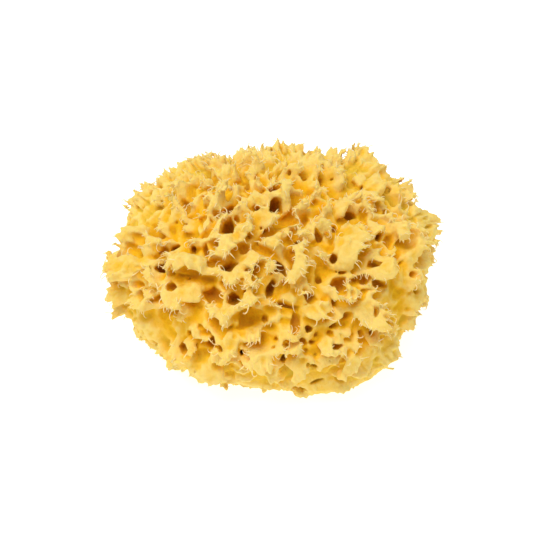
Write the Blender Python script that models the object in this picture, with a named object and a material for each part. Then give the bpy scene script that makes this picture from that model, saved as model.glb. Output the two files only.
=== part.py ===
"""A natural bath sponge of the honeycomb kind: one grown piece, 140 mm wide, cut flat where it stood on
rock. The body is a low dome of fused swellings. Its skin is crowded with flattened lobes that lean over
like shingles, with a hollow under each, and water holes of many sizes open between them. Metres, +Z up,
origin at the centre of the cut base; -Y is the side that the photograph shows, seen from 48 degrees above
the table."""

import math
import random

import bmesh
import bpy
from mathutils import Matrix, Vector

# The size of the whole sponge, which stands 0.075 high with its lobes
WIDTH = 0.140
CENTRE_HEIGHT = 0.027  # the widest level is low, so the side turns under to the cut base
BODY_RADII = Vector((0.0635, 0.0565, 0.0405))  # the plain dome, without its swellings and lobes
BODY_CENTRE = Vector((-0.0002, 0.0011, CENTRE_HEIGHT))

# The face that the photograph shows: a plane that leans back, and the viewer's eye before it
FACE_TILT = math.radians(48)
ACROSS = Vector((1, 0, 0))
UP_FACE = Vector((0, math.sin(FACE_TILT), math.cos(FACE_TILT)))
OUT_FACE = Vector((0, -math.cos(FACE_TILT), math.sin(FACE_TILT)))
FACE_MIDDLE = Vector((-0.0022, 0.0001, CENTRE_HEIGHT))  # with this the sponge's box has its middle at 0
EYE_DISTANCE = 0.623
EYE = FACE_MIDDLE + OUT_FACE * EYE_DISTANCE

# Swellings that make the dome uneven: place on the face (across, up), radius, rise above the plain dome
SWELLINGS = (
    (0.046, 0.036, 0.024, 0.0062),
    (0.062, 0.019, 0.016, 0.0060),
    (0.018, 0.048, 0.032, 0.0022),
    (-0.032, 0.042, 0.022, 0.0040),
    (-0.050, 0.028, 0.026, 0.0055),
    (-0.060, 0.006, 0.024, 0.0055),
    (-0.058, -0.010, 0.022, 0.0045),
    (0.044, -0.038, 0.020, 0.0040),
    (0.022, -0.050, 0.018, 0.0030),
    (0.038, -0.044, 0.016, 0.0030),
)
BODY_SINK = 0.0022  # the body and its swellings lie this far below the skin that the lobes stand on

# Lobes that stand out in the photograph: across, up, radius
FACE_LOBES = (
    (-0.0160, 0.0090, 0.0060),
    (0.0120, 0.0100, 0.0062),
    (0.0004, 0.0215, 0.0050),
    (-0.0087, 0.0155, 0.0048),
    (-0.0037, -0.0010, 0.0066),
    (-0.0180, -0.0040, 0.0056),
    (-0.0066, -0.0115, 0.0058),
    (0.0108, -0.0010, 0.0052),
    (0.0037, -0.0185, 0.0052),
    (-0.0345, 0.0020, 0.0064),
    (-0.0378, -0.0115, 0.0060),
    (0.0452, -0.0010, 0.0062),
    (0.0336, 0.0085, 0.0068),
    (0.0182, 0.0000, 0.0045),
    (-0.0178, -0.0312, 0.0052),
    (-0.0025, -0.0353, 0.0062),
    (0.0120, -0.0407, 0.0060),
    (0.0307, -0.0382, 0.0060),
    (-0.0190, 0.0290, 0.0058),
    (0.0058, 0.0312, 0.0052),
    (-0.0560, 0.0010, 0.0066),
    (0.0600, 0.0120, 0.0070),
    (0.0420, -0.0190, 0.0066),
    (-0.0260, -0.0430, 0.0062),
)

# Water holes in the photograph: across, up, half length, half width, turn of the length, depth
FACE_HOLES = (
    (0.0029, 0.0270, 0.0030, 0.0030, 0, 0.016),
    (0.0025, 0.0341, 0.0034, 0.0022, 25, 0.011),
    (-0.0162, 0.0179, 0.0033, 0.0033, 0, 0.016),
    (-0.0170, 0.0249, 0.0038, 0.0022, 30, 0.011),
    (-0.0096, 0.0357, 0.0025, 0.0017, 90, 0.010),
    (-0.0037, 0.0266, 0.0022, 0.0021, 0, 0.009),
    (-0.0407, 0.0108, 0.0031, 0.0019, 45, 0.013),
    (-0.0449, 0.0100, 0.0030, 0.0017, 120, 0.008),
    (-0.0320, 0.0100, 0.0017, 0.0015, 90, 0.012),
    (0.0262, 0.0166, 0.0018, 0.0017, 90, 0.012),
    (0.0345, 0.0216, 0.0031, 0.0018, -20, 0.013),
    (0.0386, 0.0220, 0.0033, 0.0018, 90, 0.008),
    (0.0440, 0.0133, 0.0030, 0.0018, 60, 0.012),
    (0.0482, 0.0116, 0.0038, 0.0029, 90, 0.008),
    (0.0141, 0.0195, 0.0026, 0.0021, 90, 0.009),
    (0.0195, 0.0133, 0.0034, 0.0015, 90, 0.010),
    (-0.0174, 0.0021, 0.0042, 0.0021, 20, 0.016),
    (0.0037, 0.0025, 0.0042, 0.0018, -50, 0.012),
    (0.0012, -0.0062, 0.0046, 0.0021, 90, 0.014),
    (-0.0162, -0.0112, 0.0030, 0.0026, 0, 0.012),
    (-0.0258, -0.0100, 0.0041, 0.0037, 0, 0.013),
    (0.0291, -0.0066, 0.0045, 0.0041, 90, 0.013),
    (0.0469, -0.0066, 0.0050, 0.0021, -15, 0.011),
    (-0.0403, -0.0174, 0.0046, 0.0022, 35, 0.011),
    (-0.0461, 0.0004, 0.0030, 0.0018, -40, 0.012),
    (-0.0245, -0.0299, 0.0030, 0.0017, 90, 0.012),
    (-0.0204, -0.0316, 0.0026, 0.0021, -35, 0.009),
    (-0.0112, -0.0345, 0.0022, 0.0017, 90, 0.009),
    (0.0066, -0.0353, 0.0019, 0.0015, 90, 0.010),
    (0.0187, -0.0390, 0.0019, 0.0015, 90, 0.010),
    (0.0274, -0.0303, 0.0026, 0.0018, 15, 0.013),
    (-0.0017, -0.0199, 0.0018, 0.0018, 0, 0.009),
    (0.0170, -0.0100, 0.0018, 0.0018, 0, 0.009),
    (0.0079, -0.0137, 0.0050, 0.0012, -12, 0.010),
    (0.0108, -0.0208, 0.0054, 0.0021, 90, 0.008),
    (-0.0353, 0.0291, 0.0038, 0.0018, -65, 0.010),
    (0.0212, 0.0374, 0.0042, 0.0018, 90, 0.010),
    (-0.0228, 0.0345, 0.0050, 0.0021, 5, 0.007),
    (-0.0129, 0.0378, 0.0046, 0.0021, 10, 0.007),
    (-0.0366, -0.0324, 0.0026, 0.0021, 90, 0.010),
    (0.0494, -0.0233, 0.0026, 0.0021, 90, 0.010),
    (0.0191, -0.0457, 0.0046, 0.0013, 35, 0.008),
    (-0.0494, 0.0262, 0.0034, 0.0021, -15, 0.006),
    (0.0370, 0.0399, 0.0031, 0.0027, 40, 0.006),
    (0.0432, 0.0025, 0.0026, 0.0018, 0, 0.008),
    (0.0507, 0.0017, 0.0034, 0.0018, 90, 0.008),
    (0.0191, 0.0266, 0.0030, 0.0026, 0, 0.008),
    (-0.0278, 0.0220, 0.0030, 0.0026, 0, 0.008),
    (-0.0411, -0.0083, 0.0022, 0.0022, 0, 0.008),
    (0.0449, -0.0166, 0.0020, 0.0018, 90, 0.007),
    (-0.0345, -0.0258, 0.0020, 0.0018, 90, 0.007),
    (-0.0420, -0.0382, 0.0038, 0.0026, 0, 0.006),
    (0.0482, -0.0366, 0.0050, 0.0022, 15, 0.006),
    (-0.0079, -0.0424, 0.0056, 0.0021, 95, 0.007),
    (0.0079, -0.0424, 0.0038, 0.0036, 0, 0.005),
)

# A lobe: its width, thickness and length against its radius, and how it stands
LOBE_STRETCH = (1.35, 0.62, 1.6)
LOBE_RISE = 0.0052
FACE_LOBE_RISE = 0.0075
LOBE_LEAN = 0.6
FACE_LOBE_LEAN = 0.84
DOWNWARD = 0.7  # how far a lobe leans down the face, against away from the viewer
SWAY = 0.45  # how far a lobe's own random way turns that lean
ROOT_SHIFT = 0.4  # a lobe's middle lies this far back from its place, and its hollow this far forward,
HOLLOW_SHIFT = 0.85  # both against its radius
HOLLOW_LIFT = 0.4
HOLLOW_STRETCH = (0.85, 0.85, 0.65)  # the hollow's size against its lobe's
LEAST_HOLLOW = 0.65  # hollows at the outline and the trimmed foot are smaller
FOOT = (-0.033, -0.043)  # up the face: the trimmed foot lies below, and lobes stand lower there
FOOT_SIDE = (-0.028, -0.010)  # across the face: it lies right of here
FOOT_DROP = 0.7

# What repeats all round the dome
LOBE_COUNT = 215
LOBE_RADII = (0.0042, 0.0062)
LOWEST_LOBE = 0.3
HOLE_COUNT = 120
HOLE_RADII = (0.0022, 0.0040)
HOLE_DEPTHS = (0.007, 0.014)
LONGEST_HOLE = 1.6
HOLE_SLANT = 0.3
HOLE_GROWTH = 0.0004  # the holes are read at their shaded floor, and their lips stand this much wider
FACING = 0.30  # a spot whose outward direction is this close to the viewer's lies on the face
OUTLINE = (0.15, 0.50)  # and one nearer to square than this lies on the outline
GOLDEN_ANGLE = math.pi * (3 - math.sqrt(5))
STRAY = 0.25
SEED = 7

# How fine the solid is
SKIN_VOXEL = 0.00135
HOLE_VOXEL = 0.0011
TRIANGLES = 10900


def clear_scene():
    for obj in list(bpy.data.objects):
        bpy.data.objects.remove(obj)


def skin_normal(point):
    """The outward direction of the plain dome at a point of its skin."""
    away = point - BODY_CENTRE
    return Vector(a / (r * r) for a, r in zip(away, BODY_RADII)).normalized()


def skin_along(direction):
    """The point of the plain dome's skin in a direction from the body's centre."""
    reach = Vector(d / r for d, r in zip(direction, BODY_RADII)).length
    return BODY_CENTRE + direction / reach


def skin_on_face(across, up):
    """The point of the plain dome's skin that the viewer sees at a place on the face, or its outline."""
    sight = FACE_MIDDLE + ACROSS * across + UP_FACE * up - EYE
    p = Vector(e / r for e, r in zip(EYE - BODY_CENTRE, BODY_RADII))
    q = Vector(s / r for s, r in zip(sight, BODY_RADII))
    a, b, c = q.dot(q), p.dot(q), p.dot(p) - 1
    root = max(b * b - a * c, 0.0)
    return EYE + sight * ((-b - math.sqrt(root)) / a)


def lifted(skin):
    """A point of the plain skin moved out onto the swelling that covers it, if one does."""
    normal = skin_normal(skin)
    reach = 0.0
    for across, up, radius, rise in SWELLINGS:
        top = skin_on_face(across, up)
        away = skin - (top + skin_normal(top) * (rise - radius))
        b = away.dot(normal)
        root = b * b - away.length_squared + radius * radius
        if root > 0:
            reach = max(reach, math.sqrt(root) - b)
    return skin + normal * reach


def round_the_dome(count, chance):
    """Skin points spread evenly over the whole dome by the golden angle, each a little out of place."""
    for i in range(count):
        height = 1 - 2 * (i + 0.5) / count
        turn = i * GOLDEN_ANGLE + chance.uniform(-STRAY, STRAY)
        level = math.sqrt(1 - height * height)
        direction = Vector((level * math.cos(turn), level * math.sin(turn), height))
        yield skin_along(direction)


def add_ball(mesh, centre, radii, frame=Matrix.Identity(3), fineness=2):
    """An icosphere stretched to three radii along the columns of a frame."""
    placed = Matrix.Translation(centre) @ frame.to_4x4() @ Matrix.Diagonal((*radii, 1))
    bmesh.ops.create_icosphere(mesh, subdivisions=fineness, radius=1, matrix=placed)


def object_from(mesh, name):
    data = bpy.data.meshes.new(name)
    mesh.to_mesh(data)
    mesh.free()
    obj = bpy.data.objects.new(name, data)
    bpy.context.scene.collection.objects.link(obj)
    return obj


def skin_frame(normal, lengthwise):
    """A frame whose third column is a normal of the skin and whose first is the lengthwise direction."""
    along = (lengthwise - normal * lengthwise.dot(normal)).normalized()
    return Matrix((along, normal.cross(along), normal)).transposed()


def smooth_step(low, high, value):
    t = min(max((value - low) / (high - low), 0), 1)
    return t * t * (3 - 2 * t)


def lobe_at(skin, radius, rise, lean, turn):
    """A lobe that grows from a skin point and leans over, and the hollow under its hem.

    Each is given as (middle, radii, frame)."""
    normal = skin_normal(skin)
    place = skin - FACE_MIDDLE
    foot = smooth_step(*FOOT, place.dot(UP_FACE)) * smooth_step(*FOOT_SIDE, place.dot(ACROSS))
    outline = 1 - smooth_step(*OUTLINE, abs(normal.dot(OUT_FACE)))
    rise *= 1 - FOOT_DROP * foot
    sway = ACROSS * math.cos(turn) + UP_FACE * math.sin(turn)
    droop, wide, _ = skin_frame(normal, SWAY * sway - OUT_FACE - DOWNWARD * UP_FACE).transposed()
    grow = (normal + lean * droop).normalized()
    thin = grow.cross(wide)
    frame = Matrix((wide, thin, grow)).transposed()
    radii = [radius * stretch for stretch in LOBE_STRETCH]
    height = math.hypot(grow.dot(normal) * radii[2], thin.dot(normal) * radii[1])
    middle = skin + normal * (rise - height) - droop * ROOT_SHIFT * radius
    under = skin + normal * rise * HOLLOW_LIFT + droop * HOLLOW_SHIFT * radius
    size = 1 - (1 - LEAST_HOLLOW) * max(outline, foot)
    return (middle, radii, frame), (under, [size * r * k for r, k in zip(radii, HOLLOW_STRETCH)], frame)


def lobes():
    """Every lobe and its hollow: first those of the face, then those that repeat all round."""
    for across, up, radius in FACE_LOBES:
        yield lobe_at(lifted(skin_on_face(across, up)), radius, FACE_LOBE_RISE, FACE_LOBE_LEAN, 0.0)
    chance = random.Random(SEED)
    for skin in round_the_dome(LOBE_COUNT, chance):
        radius = chance.uniform(*LOBE_RADII)
        rise = LOBE_RISE * chance.uniform(LOWEST_LOBE, 1.0)
        yield lobe_at(lifted(skin), radius, rise, LOBE_LEAN, chance.uniform(0, math.tau))


def dome_with_lobes():
    """The body, its swellings and its lobes, as balls that overlap and are fused later."""
    mesh = bmesh.new()
    add_ball(mesh, BODY_CENTRE, [r - BODY_SINK for r in BODY_RADII], fineness=6)
    for across, up, radius, rise in SWELLINGS:
        skin = skin_on_face(across, up)
        add_ball(mesh, skin + skin_normal(skin) * (rise - radius), (radius - BODY_SINK,) * 3, fineness=5)
    for ball, _ in lobes():
        add_ball(mesh, *ball, fineness=3)
    return object_from(mesh, "sponge")


def water_holes():
    """The cutter for every water hole and every hollow under a lobe: long balls that end in the body."""
    mesh = bmesh.new()
    for _, hollow in lobes():
        add_ball(mesh, *hollow, fineness=3)
    for across, up, half_length, half_width, turn, depth in FACE_HOLES:
        skin = lifted(skin_on_face(across, up))
        inward = -(skin_normal(skin) + OUT_FACE).normalized()
        angle = math.radians(turn)
        lengthwise = ACROSS * math.cos(angle) + UP_FACE * math.sin(angle)
        radii = (half_length + HOLE_GROWTH, half_width + HOLE_GROWTH, depth)
        add_ball(mesh, skin, radii, skin_frame(inward, lengthwise), fineness=3)
    chance = random.Random(SEED + 1)
    for skin in round_the_dome(HOLE_COUNT, chance):
        normal = skin_normal(skin)
        radius = chance.uniform(*HOLE_RADII)
        depth = chance.uniform(*HOLE_DEPTHS)
        turn = chance.uniform(0, math.tau)
        if normal.dot(OUT_FACE) > FACING:
            continue
        lengthwise = Vector((math.cos(turn), math.sin(turn), HOLE_SLANT))
        radii = (radius * chance.uniform(1.0, LONGEST_HOLE), radius, depth)
        add_ball(mesh, lifted(skin), radii, skin_frame(-normal, lengthwise), fineness=3)
    cutter = object_from(mesh, "water_holes")
    fuse(cutter, HOLE_VOXEL)
    return as_cutter(cutter)


def below_the_cut():
    """The block that takes away everything under the level at which the sponge was cut off its rock."""
    mesh = bmesh.new()
    side = 2 * WIDTH
    placed = Matrix.Translation((0, 0, -side / 2)) @ Matrix.Scale(side, 4)
    bmesh.ops.create_cube(mesh, size=1, matrix=placed)
    return as_cutter(object_from(mesh, "below_the_cut"))


def as_cutter(obj):
    obj.hide_render = True
    obj.display_type = "WIRE"
    return obj


def fuse(obj, voxel):
    remesh = obj.modifiers.new("fused", "REMESH")
    remesh.mode = "VOXEL"
    remesh.voxel_size = voxel
    remesh.adaptivity = 0


def cut(obj, cutter, name):
    boolean = obj.modifiers.new(name, "BOOLEAN")
    boolean.operation = "DIFFERENCE"
    boolean.object = cutter
    boolean.solver = "EXACT"


def thin_out(obj, triangles):
    """Drops the mesh to a number of triangles, keeping the most where the shape turns most."""
    graph = bpy.context.evaluated_depsgraph_get()
    made = obj.evaluated_get(graph).to_mesh()
    count = sum(len(face.vertices) - 2 for face in made.polygons)
    decimate = obj.modifiers.new("thinned", "DECIMATE")
    decimate.ratio = triangles / count


def drop_crumbs(obj):
    """Applies the modifiers and keeps the largest body: a hole may sever a crumb of a lobe."""
    graph = bpy.context.evaluated_depsgraph_get()
    made = bpy.data.meshes.new_from_object(obj.evaluated_get(graph))
    mesh = bmesh.new()
    mesh.from_mesh(made)
    unseen = set(mesh.verts)
    bodies = []
    while unseen:
        reached = [unseen.pop()]
        body = []
        while reached:
            vert = reached.pop()
            body.append(vert)
            beyond = {edge.other_vert(vert) for edge in vert.link_edges} & unseen
            unseen -= beyond
            reached += beyond
        bodies.append(body)
    bodies.sort(key=len)
    for crumb in bodies[:-1]:
        bmesh.ops.delete(mesh, geom=crumb, context="VERTS")
    obj.modifiers.clear()
    mesh.to_mesh(made)
    mesh.free()
    obj.data = made


def sponge_material():
    """Spongin: a matt, faintly translucent horny fibre, straw yellow once bleached."""
    material = bpy.data.materials.new("bleached_spongin")
    material.use_nodes = True
    shader = material.node_tree.nodes["Principled BSDF"]
    shader.inputs["Base Color"].default_value = (0.83, 0.52, 0.12, 1)
    shader.inputs["Roughness"].default_value = 0.9
    shader.inputs["Metallic"].default_value = 0
    return material


def build():
    clear_scene()
    sponge = dome_with_lobes()
    sponge.data.materials.append(sponge_material())
    fuse(sponge, SKIN_VOXEL)
    cut(sponge, water_holes(), "holes")
    fuse(sponge, SKIN_VOXEL)
    thin_out(sponge, TRIANGLES)
    cut(sponge, below_the_cut(), "cut_base")
    drop_crumbs(sponge)


build()
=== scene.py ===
"""The looks of a natural bath sponge: one grown skeleton of bleached spongin, cut flat underneath.

The flesh is the zero level of a field of numbers on a box of points, worked out as whole arrays: the dome
and its leaning lobes, less the hollows under the lobes, the water holes and the pores. Torn teeth and loose
hooked fibres stand on the lobes' hems as thin tapered tubes. Metres, +Z up."""

import math
import random

import bpy
import numpy as np
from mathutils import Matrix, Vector


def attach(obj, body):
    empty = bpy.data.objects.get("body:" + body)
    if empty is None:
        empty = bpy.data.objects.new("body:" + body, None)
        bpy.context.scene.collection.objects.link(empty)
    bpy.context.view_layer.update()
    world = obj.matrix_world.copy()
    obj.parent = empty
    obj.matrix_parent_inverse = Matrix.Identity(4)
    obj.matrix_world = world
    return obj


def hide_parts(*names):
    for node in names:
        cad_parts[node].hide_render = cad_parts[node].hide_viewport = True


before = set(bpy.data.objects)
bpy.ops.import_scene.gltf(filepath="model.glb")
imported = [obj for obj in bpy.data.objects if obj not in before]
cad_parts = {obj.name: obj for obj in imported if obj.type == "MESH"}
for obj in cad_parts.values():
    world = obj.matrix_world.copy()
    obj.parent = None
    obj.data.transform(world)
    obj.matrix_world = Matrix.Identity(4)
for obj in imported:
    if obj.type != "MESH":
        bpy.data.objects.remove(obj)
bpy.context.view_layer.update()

# The plain dome, the face that the photograph shows and the viewer's eye, as in the solid
CENTRE_HEIGHT = 0.027
BODY_RADII = np.array((0.0635, 0.0565, 0.0405))
BODY_CENTRE = np.array((-0.0002, 0.0011, CENTRE_HEIGHT))
FACE_TILT = math.radians(48)
ACROSS = np.array((1.0, 0.0, 0.0))
UP_FACE = np.array((0.0, math.sin(FACE_TILT), math.cos(FACE_TILT)))
OUT_FACE = np.array((0.0, -math.cos(FACE_TILT), math.sin(FACE_TILT)))
FACE_MIDDLE = np.array((-0.0022, 0.0001, CENTRE_HEIGHT))
EYE_DISTANCE = 0.623
EYE = FACE_MIDDLE + OUT_FACE * EYE_DISTANCE

# Swellings of the dome: across, up, radius, rise
SWELLINGS = (
    (0.046, 0.036, 0.024, 0.0062),
    (0.062, 0.019, 0.016, 0.0060),
    (0.018, 0.048, 0.032, 0.0022),
    (-0.032, 0.042, 0.022, 0.0040),
    (-0.050, 0.028, 0.026, 0.0055),
    (-0.060, 0.006, 0.024, 0.0055),
    (-0.058, -0.010, 0.022, 0.0045),
    (0.044, -0.038, 0.020, 0.0040),
    (0.022, -0.050, 0.018, 0.0030),
    (0.038, -0.044, 0.016, 0.0030),
)

# Broad dents in the outline: place on the face (across, up), depth below the lobes' skin
DENTS = (
    (-0.046, -0.043, 0.0105),
    (-0.028, -0.051, 0.0090),
    (-0.068, -0.014, 0.0035),
    (0.067, -0.008, 0.0072),
    (-0.014, 0.054, 0.0092),
    (-0.034, 0.047, 0.0040),
    (-0.061, 0.028, 0.0055),
)
DENT_RADIUS = 0.040

# Lobes that stand out on the face: across, up, radius
FACE_LOBES = (
    (-0.0160, 0.0090, 0.0060),
    (0.0120, 0.0100, 0.0062),
    (0.0004, 0.0215, 0.0050),
    (-0.0087, 0.0155, 0.0048),
    (-0.0037, -0.0010, 0.0066),
    (-0.0180, -0.0040, 0.0056),
    (-0.0066, -0.0115, 0.0058),
    (0.0108, -0.0010, 0.0052),
    (0.0037, -0.0185, 0.0052),
    (-0.0345, 0.0020, 0.0064),
    (-0.0378, -0.0115, 0.0060),
    (0.0452, -0.0010, 0.0062),
    (0.0336, 0.0085, 0.0068),
    (0.0182, 0.0000, 0.0045),
    (-0.0178, -0.0312, 0.0052),
    (-0.0025, -0.0353, 0.0062),
    (0.0120, -0.0407, 0.0060),
    (0.0307, -0.0382, 0.0060),
    (-0.0190, 0.0290, 0.0058),
    (0.0058, 0.0312, 0.0052),
    (-0.0560, 0.0010, 0.0066),
    (0.0600, 0.0120, 0.0070),
    (0.0420, -0.0190, 0.0066),
    (-0.0260, -0.0430, 0.0062),
)

# Water holes on the face: across, up, half length, half width, turn of the length, depth
FACE_HOLES = (
    (0.0029, 0.0270, 0.0030, 0.0030, 0, 0.016),
    (0.0025, 0.0341, 0.0034, 0.0022, 25, 0.011),
    (-0.0162, 0.0179, 0.0033, 0.0033, 0, 0.016),
    (-0.0170, 0.0249, 0.0038, 0.0022, 30, 0.011),
    (-0.0096, 0.0357, 0.0025, 0.0017, 90, 0.010),
    (-0.0037, 0.0266, 0.0022, 0.0021, 0, 0.009),
    (-0.0407, 0.0108, 0.0031, 0.0019, 45, 0.013),
    (-0.0449, 0.0100, 0.0030, 0.0017, 120, 0.008),
    (-0.0320, 0.0100, 0.0017, 0.0015, 90, 0.012),
    (0.0262, 0.0166, 0.0018, 0.0017, 90, 0.012),
    (0.0345, 0.0216, 0.0031, 0.0018, -20, 0.013),
    (0.0386, 0.0220, 0.0033, 0.0018, 90, 0.008),
    (0.0440, 0.0133, 0.0030, 0.0018, 60, 0.012),
    (0.0482, 0.0116, 0.0038, 0.0029, 90, 0.008),
    (0.0141, 0.0195, 0.0026, 0.0021, 90, 0.009),
    (0.0195, 0.0133, 0.0034, 0.0015, 90, 0.010),
    (-0.0174, 0.0021, 0.0042, 0.0021, 20, 0.016),
    (0.0037, 0.0025, 0.0042, 0.0018, -50, 0.012),
    (0.0012, -0.0062, 0.0046, 0.0021, 90, 0.014),
    (-0.0162, -0.0112, 0.0030, 0.0026, 0, 0.012),
    (-0.0258, -0.0100, 0.0041, 0.0037, 0, 0.013),
    (0.0291, -0.0066, 0.0045, 0.0041, 90, 0.013),
    (0.0469, -0.0066, 0.0050, 0.0021, -15, 0.011),
    (-0.0403, -0.0174, 0.0046, 0.0022, 35, 0.011),
    (-0.0461, 0.0004, 0.0030, 0.0018, -40, 0.012),
    (-0.0245, -0.0299, 0.0030, 0.0017, 90, 0.012),
    (-0.0204, -0.0316, 0.0026, 0.0021, -35, 0.009),
    (-0.0112, -0.0345, 0.0022, 0.0017, 90, 0.009),
    (0.0066, -0.0353, 0.0019, 0.0015, 90, 0.010),
    (0.0187, -0.0390, 0.0019, 0.0015, 90, 0.010),
    (0.0274, -0.0303, 0.0026, 0.0018, 15, 0.013),
    (-0.0017, -0.0199, 0.0018, 0.0018, 0, 0.009),
    (0.0170, -0.0100, 0.0018, 0.0018, 0, 0.009),
    (0.0079, -0.0137, 0.0050, 0.0012, -12, 0.010),
    (0.0108, -0.0208, 0.0054, 0.0021, 90, 0.008),
    (-0.0353, 0.0291, 0.0038, 0.0018, -65, 0.010),
    (0.0212, 0.0374, 0.0042, 0.0018, 90, 0.010),
    (-0.0228, 0.0345, 0.0050, 0.0021, 5, 0.007),
    (-0.0129, 0.0378, 0.0046, 0.0021, 10, 0.007),
    (-0.0366, -0.0324, 0.0026, 0.0021, 90, 0.010),
    (0.0494, -0.0233, 0.0026, 0.0021, 90, 0.010),
    (0.0191, -0.0457, 0.0046, 0.0013, 35, 0.008),
    (-0.0494, 0.0262, 0.0034, 0.0021, -15, 0.006),
    (0.0370, 0.0399, 0.0031, 0.0027, 40, 0.006),
    (0.0432, 0.0025, 0.0026, 0.0018, 0, 0.008),
    (0.0507, 0.0017, 0.0034, 0.0018, 90, 0.008),
    (0.0191, 0.0266, 0.0030, 0.0026, 0, 0.008),
    (-0.0278, 0.0220, 0.0030, 0.0026, 0, 0.008),
    (-0.0411, -0.0083, 0.0022, 0.0022, 0, 0.008),
    (0.0449, -0.0166, 0.0020, 0.0018, 90, 0.007),
    (-0.0345, -0.0258, 0.0020, 0.0018, 90, 0.007),
    (-0.0420, -0.0382, 0.0038, 0.0026, 0, 0.006),
    (0.0482, -0.0366, 0.0050, 0.0022, 15, 0.006),
    (-0.0079, -0.0424, 0.0056, 0.0021, 95, 0.007),
    (0.0079, -0.0424, 0.0038, 0.0036, 0, 0.005),
)

# Smaller holes on the face, too fine for the solid, in the same form
SMALL_HOLES = (
    (0.0162, -0.0233, 0.0021, 0.0013, 0, 0.010),
    (0.0179, -0.0282, 0.0017, 0.0013, 0, 0.008),
    (-0.0482, 0.0199, 0.0029, 0.0013, -35, 0.006),
    (0.0382, 0.0336, 0.0025, 0.0013, 50, 0.006),
    (0.0582, 0.0195, 0.0017, 0.0017, 0, 0.005),
    (-0.0303, -0.0415, 0.0025, 0.0017, 0, 0.006),
    (-0.0004, -0.0511, 0.0050, 0.0025, 0, 0.006),
    (0.0303, -0.0374, 0.0025, 0.0017, 90, 0.006),
    (0.0378, -0.0332, 0.0033, 0.0033, 0, 0.004),
    (0.0245, -0.0490, 0.0042, 0.0017, 20, 0.006),
    (0.0104, 0.0357, 0.0021, 0.0017, 90, 0.008),
    (-0.0253, 0.0083, 0.0033, 0.0013, 90, 0.008),
    (-0.0461, -0.0125, 0.0042, 0.0021, 30, 0.007),
    (-0.0449, -0.0233, 0.0029, 0.0025, 90, 0.006),
    (-0.0449, -0.0299, 0.0033, 0.0021, 90, 0.006),
    (0.0557, -0.0158, 0.0037, 0.0025, 90, 0.006),
)

# Round pores on the face: across, up, radius, depth
FACE_PORES = (
    (0.0037, -0.0282, 0.0011, 0.005),
    (0.0075, -0.0299, 0.0011, 0.005),
    (0.0158, -0.0320, 0.0012, 0.005),
    (0.0199, -0.0336, 0.0011, 0.005),
    (0.0228, -0.0187, 0.0010, 0.005),
    (0.0270, -0.0204, 0.0011, 0.005),
    (0.0316, -0.0208, 0.0011, 0.005),
    (0.0353, -0.0220, 0.0010, 0.005),
    (0.0253, -0.0249, 0.0011, 0.005),
    (0.0341, -0.0262, 0.0011, 0.005),
    (0.0395, -0.0274, 0.0010, 0.005),
    (-0.0058, 0.0307, 0.0008, 0.004),
    (-0.0233, 0.0295, 0.0008, 0.004),
    (-0.0278, 0.0195, 0.0008, 0.004),
    (0.0174, 0.0241, 0.0008, 0.004),
    (-0.0395, 0.0220, 0.0008, 0.004),
    (0.0282, 0.0320, 0.0008, 0.004),
    (0.0411, 0.0112, 0.0008, 0.004),
    (-0.0420, 0.0000, 0.0008, 0.004),
)

# What repeats all round the dome, in the solid too
LOBE_COUNT = 215
LOBE_RADII = (0.0042, 0.0062)
LOBE_RISES = (0.3, 1.0)  # shares of the full rise
HOLE_COUNT = 120
HOLE_RADII = (0.0022, 0.0040)
HOLE_DEPTHS = (0.007, 0.014)
LONGEST_HOLE = 1.6
HOLE_SLANT = 0.3
SIGHT_LEAN = 0.2  # a hole of the face runs along the viewer's sight, leaned this much inward
SEEN_DEPTH = (0.6, 0.0015)  # and is as deep as this share of the solid's, and this much more
HOLE_SIDES = 6
SIDE_TURN = 0.35  # how far a side turns out of its place
SIDE_REACHES = (0.72, 1.05)
FACING = 0.30  # a spot whose outward direction is this close to the viewer's lies on the face
OUTLINE = (0.15, 0.50)  # and one nearer to square than this lies on the outline
GOLDEN_ANGLE = math.pi * (3 - math.sqrt(5))
STRAY = 0.25
SEED = 7

# A lobe: its width, thickness and length against its radius, and how it stands and leans, as in the solid
LOBE_STRETCH = np.array((1.35, 0.62, 1.6))
LOBE_RISE = 0.0052
FACE_LOBE_RISE = 0.0075
LOBE_LEAN = 0.6
FACE_LEAN = 1.4  # lobes of the face lean this much more
DOWNWARD = 0.7  # how far a lobe leans down the face, against away from the viewer
SWAY = 0.45  # how far a lobe's own random way turns that lean
ROOT_SHIFT = 0.4  # a lobe's middle lies this far back from its place, and its hollow this far forward,
HOLLOW_SHIFT = 0.85  # both against its radius
HOLLOW_LIFT = 0.4
HOLLOW_STRETCH = (0.85, 0.85, 0.65)  # the hollow's size against its lobe's
HOLLOW_LOSS = 0.35  # hollows at the outline and the trimmed foot are smaller
OUTLINE_THINNING = 0.25  # and the lobes there are thinner
FOOT = (-0.033, -0.043)  # up the face: the trimmed foot lies below, and lobes stand lower there
FOOT_SIDE = (-0.028, -0.010)  # across the face: it lies right of here
FOOT_DROP = 0.7

# What is too fine for the solid: smaller lobes between the others, torn and pleated hems, and fine pores
SMALL_LOBE_COUNT = 240
SMALL_LOBE_RADII = (0.0028, 0.0044)
SMALL_LOBE_RISES = (0.0, 0.6)
TEAR = 0.17  # the share of a lobe's length that its tears take
TEAR_LOST = 0.85  # the share of that which is missing at the trimmed foot
TEAR_WIDTH = 0.0014
TEAR_SLANT = 0.15
PLEAT_WIDTH = 0.0012
PLEAT_HEIGHT = 0.0006
LEAST_PLEAT = 0.4
HEM_REACH = 12  # tears and pleats on each side of a lobe's middle
PORE_COUNT = 1300
PORE_RADIUS = 0.0007
PORE_GROWTH = 0.0011  # the widest pores are this much wider
PORE_TILT = 0.35
PORE_STRAY = 0.003  # a pore's middle lies this far above or below the skin at most
PORE_FACING = 0.2  # where the skin faces the viewer this much, pores are sparser
PORES_LEFT_OUT = 0.6

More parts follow.
